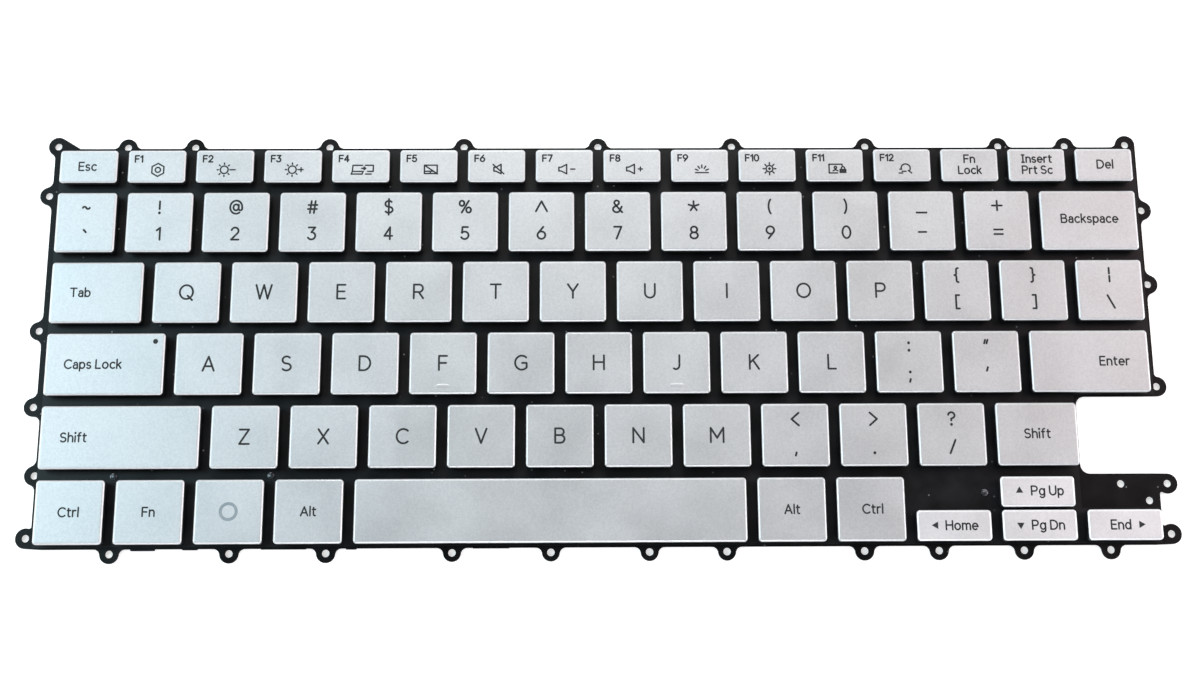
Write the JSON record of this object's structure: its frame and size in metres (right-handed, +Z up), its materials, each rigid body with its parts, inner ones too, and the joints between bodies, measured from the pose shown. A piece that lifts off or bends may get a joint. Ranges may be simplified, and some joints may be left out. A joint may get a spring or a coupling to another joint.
{
  "type": "laptop replacement keyboard",
  "caption": "Low replacement keyboard for a notebook: silver key caps on scissor links and rubber domes, over a black metal plate with screw ears along its edges.",
  "frame": {"origin": "on the underside, below the middle of the base plate's outline", "axes": "+X along the rows to the right, +Y towards the function row, +Z up through the key tops"},
  "size_m": [0.2808, 0.1074, 0.0044],
  "materials": {
    "key_silver": "satin metallic paint",
    "plate_black": "matt black coating",
    "membrane_black": "matt film",
    "backlight_white": "smooth",
    "dome_silicone": "matt",
    "link_plastic": "moulded",
    "wire_steel": "drawn wire"
  },
  "bodies": {
    "keyboard_base": {"backlight_panel": "backlight_white", "base_plate": "plate_black", "function_row_keys": "key_silver", "membrane_sheet": "membrane_black", "number_row_keys": "key_silver", "rubber_domes": "dome_silicone", "scissor_inner_links": "link_plastic", "scissor_outer_links": "link_plastic", "stabiliser_bars": "wire_steel"},
    "key_a": {"key_a": "key_silver"},
    "key_b": {"key_b": "key_silver"},
    "key_backslash": {"key_backslash": "key_silver"},
    "key_backspace": {"key_backspace": "key_silver"},
    "key_c": {"key_c": "key_silver"},
    "key_caps_lock": {"key_caps_lock": "key_silver"},
    "key_comma": {"key_comma": "key_silver"},
    "key_d": {"key_d": "key_silver"},
    "key_e": {"key_e": "key_silver"},
    "key_end": {"key_end": "key_silver"},
    "key_enter": {"key_enter": "key_silver"},
    "key_f": {"key_f": "key_silver"},
    "key_fn": {"key_fn": "key_silver"},
    "key_g": {"key_g": "key_silver"},
    "key_h": {"key_h": "key_silver"},
    "key_home": {"key_home": "key_silver"},
    "key_i": {"key_i": "key_silver"},
    "key_j": {"key_j": "key_silver"},
    "key_k": {"key_k": "key_silver"},
    "key_l": {"key_l": "key_silver"},
    "key_left_alt": {"key_left_alt": "key_silver"},
    "key_left_bracket": {"key_left_bracket": "key_silver"},
    "key_left_ctrl": {"key_left_ctrl": "key_silver"},
    "key_left_shift": {"key_left_shift": "key_silver"},
    "key_m": {"key_m": "key_silver"},
    "key_n": {"key_n": "key_silver"},
    "key_o": {"key_o": "key_silver"},
    "key_p": {"key_p": "key_silver"},
    "key_page_down": {"key_page_down": "key_silver"},
    "key_page_up": {"key_page_up": "key_silver"},
    "key_period": {"key_period": "key_silver"},
    "key_q": {"key_q": "key_silver"},
    "key_quote": {"key_quote": "key_silver"},
    "key_r": {"key_r": "key_silver"},
    "key_right_alt": {"key_right_alt": "key_silver"},
    "key_right_bracket": {"key_right_bracket": "key_silver"},
    "key_right_ctrl": {"key_right_ctrl": "key_silver"},
    "key_right_shift": {"key_right_shift": "key_silver"},
    "key_s": {"key_s": "key_silver"},
    "key_semicolon": {"key_semicolon": "key_silver"},
    "key_slash": {"key_slash": "key_silver"},
    "key_space": {"key_space": "key_silver"},
    "key_system": {"key_system": "key_silver"},
    "key_t": {"key_t": "key_silver"},
    "key_tab": {"key_tab": "key_silver"},
    "key_u": {"key_u": "key_silver"},
    "key_v": {"key_v": "key_silver"},
    "key_w": {"key_w": "key_silver"},
    "key_x": {"key_x": "key_silver"},
    "key_y": {"key_y": "key_silver"},
    "key_z": {"key_z": "key_silver"}
  },
  "joints": [
    {"name": "a_press", "type": "slide", "parent": "keyboard_base", "child": "key_a", "axis": [0, 0, -1], "range_m": [0, 0.0012], "stiffness_N_per_m": 350, "springref_m": -0.0003, "deforming": ["rubber_domes", "scissor_inner_links", "scissor_outer_links"]},
    {"name": "b_press", "type": "slide", "parent": "keyboard_base", "child": "key_b", "axis": [0, 0, -1], "range_m": [0, 0.0012], "stiffness_N_per_m": 350, "springref_m": -0.0003, "deforming": ["rubber_domes", "scissor_inner_links", "scissor_outer_links"]},
    {"name": "backslash_press", "type": "slide", "parent": "keyboard_base", "child": "key_backslash", "axis": [0, 0, -1], "range_m": [0, 0.0012], "stiffness_N_per_m": 350, "springref_m": -0.0003, "deforming": ["rubber_domes", "scissor_inner_links", "scissor_outer_links"]},
    {"name": "backspace_press", "type": "slide", "parent": "keyboard_base", "child": "key_backspace", "axis": [0, 0, -1], "range_m": [0, 0.0012], "stiffness_N_per_m": 350, "springref_m": -0.0003, "deforming": ["rubber_domes", "scissor_inner_links", "scissor_outer_links"]},
    {"name": "c_press", "type": "slide", "parent": "keyboard_base", "child": "key_c", "axis": [0, 0, -1], "range_m": [0, 0.0012], "stiffness_N_per_m": 350, "springref_m": -0.0003, "deforming": ["rubber_domes", "scissor_inner_links", "scissor_outer_links"]},
    {"name": "caps_lock_press", "type": "slide", "parent": "keyboard_base", "child": "key_caps_lock", "axis": [0, 0, -1], "range_m": [0, 0.0012], "stiffness_N_per_m": 350, "springref_m": -0.0003, "deforming": ["rubber_domes", "scissor_inner_links", "scissor_outer_links", "stabiliser_bars"]},
    {"name": "comma_press", "type": "slide", "parent": "keyboard_base", "child": "key_comma", "axis": [0, 0, -1], "range_m": [0, 0.0012], "stiffness_N_per_m": 350, "springref_m": -0.0003, "deforming": ["rubber_domes", "scissor_inner_links", "scissor_outer_links"]},
    {"name": "d_press", "type": "slide", "parent": "keyboard_base", "child": "key_d", "axis": [0, 0, -1], "range_m": [0, 0.0012], "stiffness_N_per_m": 350, "springref_m": -0.0003, "deforming": ["rubber_domes", "scissor_inner_links", "scissor_outer_links"]},
    {"name": "e_press", "type": "slide", "parent": "keyboard_base", "child": "key_e", "axis": [0, 0, -1], "range_m": [0, 0.0012], "stiffness_N_per_m": 350, "springref_m": -0.0003, "deforming": ["rubber_domes", "scissor_inner_links", "scissor_outer_links"]},
    {"name": "end_press", "type": "slide", "parent": "keyboard_base", "child": "key_end", "axis": [0, 0, -1], "range_m": [0, 0.0012], "stiffness_N_per_m": 350, "springref_m": -0.0003, "deforming": ["rubber_domes", "scissor_inner_links", "scissor_outer_links"]},
    {"name": "enter_press", "type": "slide", "parent": "keyboard_base", "child": "key_enter", "axis": [0, 0, -1], "range_m": [0, 0.0012], "stiffness_N_per_m": 350, "springref_m": -0.0003, "deforming": ["rubber_domes", "scissor_inner_links", "scissor_outer_links", "stabiliser_bars"]},
    {"name": "f_press", "type": "slide", "parent": "keyboard_base", "child": "key_f", "axis": [0, 0, -1], "range_m": [0, 0.0012], "stiffness_N_per_m": 350, "springref_m": -0.0003, "deforming": ["rubber_domes", "scissor_inner_links", "scissor_outer_links"]},
    {"name": "fn_press", "type": "slide", "parent": "keyboard_base", "child": "key_fn", "axis": [0, 0, -1], "range_m": [0, 0.0012], "stiffness_N_per_m": 350, "springref_m": -0.0003, "deforming": ["rubber_domes", "scissor_inner_links", "scissor_outer_links"]},
    {"name": "g_press", "type": "slide", "parent": "keyboard_base", "child": "key_g", "axis": [0, 0, -1], "range_m": [0, 0.0012], "stiffness_N_per_m": 350, "springref_m": -0.0003, "deforming": ["rubber_domes", "scissor_inner_links", "scissor_outer_links"]},
    {"name": "h_press", "type": "slide", "parent": "keyboard_base", "child": "key_h", "axis": [0, 0, -1], "range_m": [0, 0.0012], "stiffness_N_per_m": 350, "springref_m": -0.0003, "deforming": ["rubber_domes", "scissor_inner_links", "scissor_outer_links"]},
    {"name": "home_press", "type": "slide", "parent": "keyboard_base", "child": "key_home", "axis": [0, 0, -1], "range_m": [0, 0.0012], "stiffness_N_per_m": 350, "springref_m": -0.0003, "deforming": ["rubber_domes", "scissor_inner_links", "scissor_outer_links"]},
    {"name": "i_press", "type": "slide", "parent": "keyboard_base", "child": "key_i", "axis": [0, 0, -1], "range_m": [0, 0.0012], "stiffness_N_per_m": 350, "springref_m": -0.0003, "deforming": ["rubber_domes", "scissor_inner_links", "scissor_outer_links"]},
    {"name": "j_press", "type": "slide", "parent": "keyboard_base", "child": "key_j", "axis": [0, 0, -1], "range_m": [0, 0.0012], "stiffness_N_per_m": 350, "springref_m": -0.0003, "deforming": ["rubber_domes", "scissor_inner_links", "scissor_outer_links"]},
    {"name": "k_press", "type": "slide", "parent": "keyboard_base", "child": "key_k", "axis": [0, 0, -1], "range_m": [0, 0.0012], "stiffness_N_per_m": 350, "springref_m": -0.0003, "deforming": ["rubber_domes", "scissor_inner_links", "scissor_outer_links"]},
    {"name": "l_press", "type": "slide", "parent": "keyboard_base", "child": "key_l", "axis": [0, 0, -1], "range_m": [0, 0.0012], "stiffness_N_per_m": 350, "springref_m": -0.0003, "deforming": ["rubber_domes", "scissor_inner_links", "scissor_outer_links"]},
    {"name": "left_alt_press", "type": "slide", "parent": "keyboard_base", "child": "key_left_alt", "axis": [0, 0, -1], "range_m": [0, 0.0012], "stiffness_N_per_m": 350, "springref_m": -0.0003, "deforming": ["rubber_domes", "scissor_inner_links", "scissor_outer_links"]},
    {"name": "left_bracket_press", "type": "slide", "parent": "keyboard_base", "child": "key_left_bracket", "axis": [0, 0, -1], "range_m": [0, 0.0012], "stiffness_N_per_m": 350, "springref_m": -0.0003, "deforming": ["rubber_domes", "scissor_inner_links", "scissor_outer_links"]},
    {"name": "left_ctrl_press", "type": "slide", "parent": "keyboard_base", "child": "key_left_ctrl", "axis": [0, 0, -1], "range_m": [0, 0.0012], "stiffness_N_per_m": 350, "springref_m": -0.0003, "deforming": ["rubber_domes", "scissor_inner_links", "scissor_outer_links"]},
    {"name": "left_shift_press", "type": "slide", "parent": "keyboard_base", "child": "key_left_shift", "axis": [0, 0, -1], "range_m": [0, 0.0012], "stiffness_N_per_m": 350, "springref_m": -0.0003, "deforming": ["rubber_domes", "scissor_inner_links", "scissor_outer_links", "stabiliser_bars"]},
    {"name": "m_press", "type": "slide", "parent": "keyboard_base", "child": "key_m", "axis": [0, 0, -1], "range_m": [0, 0.0012], "stiffness_N_per_m": 350, "springref_m": -0.0003, "deforming": ["rubber_domes", "scissor_inner_links", "scissor_outer_links"]},
    {"name": "n_press", "type": "slide", "parent": "keyboard_base", "child": "key_n", "axis": [0, 0, -1], "range_m": [0, 0.0012], "stiffness_N_per_m": 350, "springref_m": -0.0003, "deforming": ["rubber_domes", "scissor_inner_links", "scissor_outer_links"]},
    {"name": "o_press", "type": "slide", "parent": "keyboard_base", "child": "key_o", "axis": [0, 0, -1], "range_m": [0, 0.0012], "stiffness_N_per_m": 350, "springref_m": -0.0003, "deforming": ["rubber_domes", "scissor_inner_links", "scissor_outer_links"]},
    {"name": "p_press", "type": "slide", "parent": "keyboard_base", "child": "key_p", "axis": [0, 0, -1], "range_m": [0, 0.0012], "stiffness_N_per_m": 350, "springref_m": -0.0003, "deforming": ["rubber_domes", "scissor_inner_links", "scissor_outer_links"]},
    {"name": "page_down_press", "type": "slide", "parent": "keyboard_base", "child": "key_page_down", "axis": [0, 0, -1], "range_m": [0, 0.0012], "stiffness_N_per_m": 350, "springref_m": -0.0003, "deforming": ["rubber_domes", "scissor_inner_links", "scissor_outer_links"]},
    {"name": "page_up_press", "type": "slide", "parent": "keyboard_base", "child": "key_page_up", "axis": [0, 0, -1], "range_m": [0, 0.0012], "stiffness_N_per_m": 350, "springref_m": -0.0003, "deforming": ["rubber_domes", "scissor_inner_links", "scissor_outer_links"]},
    {"name": "period_press", "type": "slide", "parent": "keyboard_base", "child": "key_period", "axis": [0, 0, -1], "range_m": [0, 0.0012], "stiffness_N_per_m": 350, "springref_m": -0.0003, "deforming": ["rubber_domes", "scissor_inner_links", "scissor_outer_links"]},
    {"name": "q_press", "type": "slide", "parent": "keyboard_base", "child": "key_q", "axis": [0, 0, -1], "range_m": [0, 0.0012], "stiffness_N_per_m": 350, "springref_m": -0.0003, "deforming": ["rubber_domes", "scissor_inner_links", "scissor_outer_links"]},
    {"name": "quote_press", "type": "slide", "parent": "keyboard_base", "child": "key_quote", "axis": [0, 0, -1], "range_m": [0, 0.0012], "stiffness_N_per_m": 350, "springref_m": -0.0003, "deforming": ["rubber_domes", "scissor_inner_links", "scissor_outer_links"]},
    {"name": "r_press", "type": "slide", "parent": "keyboard_base", "child": "key_r", "axis": [0, 0, -1], "range_m": [0, 0.0012], "stiffness_N_per_m": 350, "springref_m": -0.0003, "deforming": ["rubber_domes", "scissor_inner_links", "scissor_outer_links"]},
    {"name": "right_alt_press", "type": "slide", "parent": "keyboard_base", "child": "key_right_alt", "axis": [0, 0, -1], "range_m": [0, 0.0012], "stiffness_N_per_m": 350, "springref_m": -0.0003, "deforming": ["rubber_domes", "scissor_inner_links", "scissor_outer_links"]},
    {"name": "right_bracket_press", "type": "slide", "parent": "keyboard_base", "child": "key_right_bracket", "axis": [0, 0, -1], "range_m": [0, 0.0012], "stiffness_N_per_m": 350, "springref_m": -0.0003, "deforming": ["rubber_domes", "scissor_inner_links", "scissor_outer_links"]},
    {"name": "right_ctrl_press", "type": "slide", "parent": "keyboard_base", "child": "key_right_ctrl", "axis": [0, 0, -1], "range_m": [0, 0.0012], "stiffness_N_per_m": 350, "springref_m": -0.0003, "deforming": ["rubber_domes", "scissor_inner_links", "scissor_outer_links"]},
    {"name": "right_shift_press", "type": "slide", "parent": "keyboard_base", "child": "key_right_shift", "axis": [0, 0, -1], "range_m": [0, 0.0012], "stiffness_N_per_m": 350, "springref_m": -0.0003, "deforming": ["rubber_domes", "scissor_inner_links", "scissor_outer_links"]},
    {"name": "s_press", "type": "slide", "parent": "keyboard_base", "child": "key_s", "axis": [0, 0, -1], "range_m": [0, 0.0012], "stiffness_N_per_m": 350, "springref_m": -0.0003, "deforming": ["rubber_domes", "scissor_inner_links", "scissor_outer_links"]},
    {"name": "semicolon_press", "type": "slide", "parent": "keyboard_base", "child": "key_semicolon", "axis": [0, 0, -1], "range_m": [0, 0.0012], "stiffness_N_per_m": 350, "springref_m": -0.0003, "deforming": ["rubber_domes", "scissor_inner_links", "scissor_outer_links"]},
    {"name": "slash_press", "type": "slide", "parent": "keyboard_base", "child": "key_slash", "axis": [0, 0, -1], "range_m": [0, 0.0012], "stiffness_N_per_m": 350, "springref_m": -0.0003, "deforming": ["rubber_domes", "scissor_inner_links", "scissor_outer_links"]},
    {"name": "space_press", "type": "slide", "parent": "keyboard_base", "child": "key_space", "axis": [0, 0, -1], "range_m": [0, 0.0012], "stiffness_N_per_m": 350, "springref_m": -0.0003, "deforming": ["rubber_domes", "scissor_inner_links", "scissor_outer_links", "stabiliser_bars"]},
    {"name": "system_press", "type": "slide", "parent": "keyboard_base", "child": "key_system", "axis": [0, 0, -1], "range_m": [0, 0.0012], "stiffness_N_per_m": 350, "springref_m": -0.0003, "deforming": ["rubber_domes", "scissor_inner_links", "scissor_outer_links"]},
    {"name": "t_press", "type": "slide", "parent": "keyboard_base", "child": "key_t", "axis": [0, 0, -1], "range_m": [0, 0.0012], "stiffness_N_per_m": 350, "springref_m": -0.0003, "deforming": ["rubber_domes", "scissor_inner_links", "scissor_outer_links"]},
    {"name": "tab_press", "type": "slide", "parent": "keyboard_base", "child": "key_tab", "axis": [0, 0, -1], "range_m": [0, 0.0012], "stiffness_N_per_m": 350, "springref_m": -0.0003, "deforming": ["rubber_domes", "scissor_inner_links", "scissor_outer_links"]},
    {"name": "u_press", "type": "slide", "parent": "keyboard_base", "child": "key_u", "axis": [0, 0, -1], "range_m": [0, 0.0012], "stiffness_N_per_m": 350, "springref_m": -0.0003, "deforming": ["rubber_domes", "scissor_inner_links", "scissor_outer_links"]},
    {"name": "v_press", "type": "slide", "parent": "keyboard_base", "child": "key_v", "axis": [0, 0, -1], "range_m": [0, 0.0012], "stiffness_N_per_m": 350, "springref_m": -0.0003, "deforming": ["rubber_domes", "scissor_inner_links", "scissor_outer_links"]},
    {"name": "w_press", "type": "slide", "parent": "keyboard_base", "child": "key_w", "axis": [0, 0, -1], "range_m": [0, 0.0012], "stiffness_N_per_m": 350, "springref_m": -0.0003, "deforming": ["rubber_domes", "scissor_inner_links", "scissor_outer_links"]},
    {"name": "x_press", "type": "slide", "parent": "keyboard_base", "child": "key_x", "axis": [0, 0, -1], "range_m": [0, 0.0012], "stiffness_N_per_m": 350, "springref_m": -0.0003, "deforming": ["rubber_domes", "scissor_inner_links", "scissor_outer_links"]},
    {"name": "y_press", "type": "slide", "parent": "keyboard_base", "child": "key_y", "axis": [0, 0, -1], "range_m": [0, 0.0012], "stiffness_N_per_m": 350, "springref_m": -0.0003, "deforming": ["rubber_domes", "scissor_inner_links", "scissor_outer_links"]},
    {"name": "z_press", "type": "slide", "parent": "keyboard_base", "child": "key_z", "axis": [0, 0, -1], "range_m": [0, 0.0012], "stiffness_N_per_m": 350, "springref_m": -0.0003, "deforming": ["rubber_domes", "scissor_inner_links", "scissor_outer_links"]}
  ]
}
